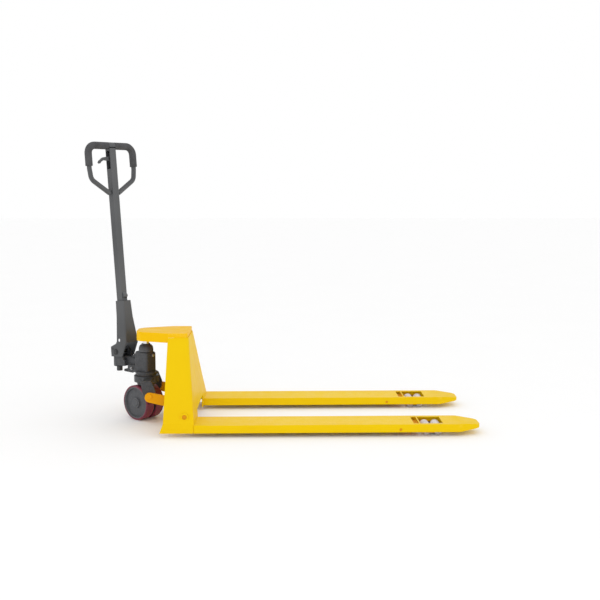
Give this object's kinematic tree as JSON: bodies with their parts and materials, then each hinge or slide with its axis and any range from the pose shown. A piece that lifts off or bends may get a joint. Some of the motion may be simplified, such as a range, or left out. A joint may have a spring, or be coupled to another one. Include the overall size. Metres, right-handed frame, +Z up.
{
  "type": "pallet jack",
  "caption": "Low-profile hand pallet truck: channel forks with tandem rollers, welded yellow frame, hydraulic pump on steered wheels, hinged tiller with loop handle",
  "frame": {"origin": "on the floor under the middle of the whole truck with its forks lowered and its tiller turned and upright", "axes": "+X towards the fork tips, +Y to the truck's left seen from the operator, +Z up from the floor"},
  "size_m": [1.7304, 0.685, 1.2584],
  "materials": {
    "yellow_paint": "gloss",
    "black_casting": "satin",
    "grey_paint": "satin",
    "rubber": "matt",
    "steel": "satin",
    "chrome": "polished",
    "polyurethane": "satin",
    "nylon": "satin"
  },
  "bodies": {
    "seat": {"swivel_seat": "black_casting"},
    "steer_unit": {"pump_body": "black_casting", "pump_head": "black_casting", "dust_seal": "rubber", "oil_plug": "steel", "valve_screw": "steel", "thrust_bearing": "steel", "pivot_shaft": "steel", "release_pin": "steel", "axle_carrier": "black_casting", "steer_axle": "steel", "plunger_spring": "steel"},
    "steer_wheel_right": {"wheel_tread_right": "polyurethane", "wheel_hub_right": "black_casting", "wheel_bearing_right": "steel", "wheel_cap_right": "steel"},
    "steer_wheel_left": {"wheel_tread_left": "polyurethane", "wheel_hub_left": "black_casting", "wheel_bearing_left": "steel", "wheel_cap_left": "steel"},
    "tiller": {"tiller_bracket": "grey_paint", "roller_shaft": "steel", "tiller_tube": "grey_paint", "guide_tab": "grey_paint", "handle_loop": "grey_paint", "grip_left": "rubber", "grip_right": "rubber", "lever_pin": "steel"},
    "roller_on_tiller": {"pressure_roller": "steel"},
    "hand_lever": {"control_lever": "grey_paint"},
    "release_rod": {"pull_rod": "steel"},
    "release": {"release_lever": "steel"},
    "plunger": {"pump_plunger": "chrome", "spring_cap": "steel"},
    "chassis": {"frame_shell": "yellow_paint", "nose_cap": "yellow_paint", "ram_cup": "steel", "lift_ram": "chrome", "fork_left": "yellow_paint", "fork_right": "yellow_paint", "rocker_shaft": "yellow_paint", "roller_fork_pin_left": "steel", "roller_fork_pin_right": "steel"},
    "rocker": {"rocker_arm": "yellow_paint", "link_pin_left": "yellow_paint", "link_pin_right": "yellow_paint"},
    "thrust_rod_right": {"push_rod_right": "grey_paint", "push_rod_right_pin": "steel"},
    "thrust_rod_left": {"push_rod_left": "grey_paint", "push_rod_left_pin": "steel"},
    "roller_arm_right": {"roller_frame_right": "grey_paint"},
    "roller_arm_left": {"roller_frame_left": "grey_paint"},
    "roller_bogie_right": {"bogie_right": "black_casting"},
    "roller_bogie_left": {"bogie_left": "black_casting"},
    "roller_left_front": {"load_roller_left_front": "nylon"},
    "roller_left_rear": {"load_roller_left_rear": "nylon"},
    "roller_right_front": {"load_roller_right_front": "nylon"},
    "roller_right_rear": {"load_roller_right_rear": "nylon"}
  },
  "joints": [
    {"name": "steering", "type": "hinge", "parent": "seat", "child": "steer_unit", "pos_m": [-0.602, 0, 0], "axis": [0, 0, 1], "range_deg": [-50, 130]},
    {"name": "steer_wheel_right_spin", "type": "hinge", "parent": "steer_unit", "child": "steer_wheel_right", "pos_m": [-0.63782, -0.00846, 0.08], "axis": [0.6428, 0.766, 0], "continuous": true},
    {"name": "steer_wheel_left_spin", "type": "hinge", "parent": "steer_unit", "child": "steer_wheel_left", "pos_m": [-0.59989, 0.03674, 0.08], "axis": [0.6428, 0.766, 0], "continuous": true},
    {"name": "tiller_tilt", "type": "hinge", "parent": "steer_unit", "child": "tiller", "pos_m": [-0.72671, 0.10465, 0.298], "axis": [-0.6428, -0.766, 0], "range_deg": [0, 60], "stiffness_Nm_per_rad": 14, "springref_deg": -34.38},
    {"name": "pressure_roller_spin", "type": "hinge", "parent": "tiller", "child": "roller_on_tiller", "pos_m": [-0.74263, 0.11801, 0.31], "axis": [0.6428, 0.766, 0], "continuous": true},
    {"name": "lever_squeeze", "type": "hinge", "parent": "tiller", "child": "hand_lever", "pos_m": [-0.76335, 0.13539, 1.1831], "axis": [0.7634, -0.6405, 0.0837], "range_deg": [0, 18], "stiffness_Nm_per_rad": 0.6, "springref_deg": -17.19},
    {"name": "rod_pull", "type": "slide", "parent": "tiller", "child": "release_rod", "axis": [-0.0641, 0.0538, 0.9965], "range_m": [-0.0032, 0]},
    {"name": "release_tilt", "type": "hinge", "parent": "steer_unit", "child": "release", "pos_m": [-0.66022, 0.04885, 0.2265], "axis": [0.6428, 0.766, 0], "range_deg": [-12.5, 12.5]},
    {"name": "plunger_stroke", "type": "slide", "parent": "steer_unit", "child": "plunger", "axis": [0, 0, -1], "range_m": [0, 0.0242], "deforming": ["plunger_spring"]},
    {"name": "lift", "type": "slide", "parent": "seat", "child": "chassis", "axis": [0, 0, 1], "range_m": [0, 0.11]},
    {"name": "rocker_swing", "type": "hinge", "parent": "chassis", "child": "rocker", "pos_m": [-0.399, 0, 0.086], "axis": [0, -1, 0], "range_deg": [0, 36.2]},
    {"name": "push_rod_right_slide", "type": "slide", "parent": "chassis", "child": "thrust_rod_right", "axis": [1, 0, 0], "range_m": [0, 0.0212]},
    {"name": "roller_arm_right_swing", "type": "hinge", "parent": "chassis", "child": "roller_arm_right", "pos_m": [0.52, -0.2625, 0.03], "axis": [0, 1, 0], "range_deg": [0, 54.5]},
    {"name": "bogie_right_swing", "type": "hinge", "parent": "roller_arm_right", "child": "roller_bogie_right", "pos_m": [0.66, -0.2625, 0.0215], "axis": [0, -1, 0], "range_deg": [0, 54.5]},
    {"name": "load_roller_right_front_spin", "type": "hinge", "parent": "roller_bogie_right", "child": "roller_right_front", "pos_m": [0.683, -0.2625, 0.0215], "axis": [0, 1, 0], "continuous": true},
    {"name": "load_roller_right_rear_spin", "type": "hinge", "parent": "roller_bogie_right", "child": "roller_right_rear", "pos_m": [0.637, -0.2625, 0.0215], "axis": [0, 1, 0], "continuous": true},
    {"name": "push_rod_left_slide", "type": "slide", "parent": "chassis", "child": "thrust_rod_left", "axis": [1, 0, 0], "range_m": [0, 0.0212]},
    {"name": "roller_arm_left_swing", "type": "hinge", "parent": "chassis", "child": "roller_arm_left", "pos_m": [0.52, 0.2625, 0.03], "axis": [0, 1, 0], "range_deg": [0, 54.5]},
    {"name": "bogie_left_swing", "type": "hinge", "parent": "roller_arm_left", "child": "roller_bogie_left", "pos_m": [0.66, 0.2625, 0.0215], "axis": [0, -1, 0], "range_deg": [0, 54.5]},
    {"name": "load_roller_left_front_spin", "type": "hinge", "parent": "roller_bogie_left", "child": "roller_left_front", "pos_m": [0.683, 0.2625, 0.0215], "axis": [0, 1, 0], "continuous": true},
    {"name": "load_roller_left_rear_spin", "type": "hinge", "parent": "roller_bogie_left", "child": "roller_left_rear", "pos_m": [0.637, 0.2625, 0.0215], "axis": [0, 1, 0], "continuous": true}
  ],
  "couplings": [
    {"joint": "plunger_stroke", "follows": "tiller_tilt", "m_per_rad": 0.0229},
    {"joint": "rod_pull", "follows": "lever_squeeze", "m_per_rad": -0.00955},
    {"joint": "release_tilt", "follows": "lever_squeeze", "ratio": 0.667},
    {"joint": "rocker_swing", "follows": "lift", "rad_per_m": 5.712},
    {"joint": "push_rod_right_slide", "follows": "lift", "ratio": 0.1909},
    {"joint": "roller_arm_right_swing", "follows": "lift", "rad_per_m": 8.594},
    {"joint": "bogie_right_swing", "follows": "lift", "rad_per_m": 8.594},
    {"joint": "push_rod_left_slide", "follows": "lift", "ratio": 0.1909},
    {"joint": "roller_arm_left_swing", "follows": "lift", "rad_per_m": 8.594},
    {"joint": "bogie_left_swing", "follows": "lift", "rad_per_m": 8.594}
  ]
}
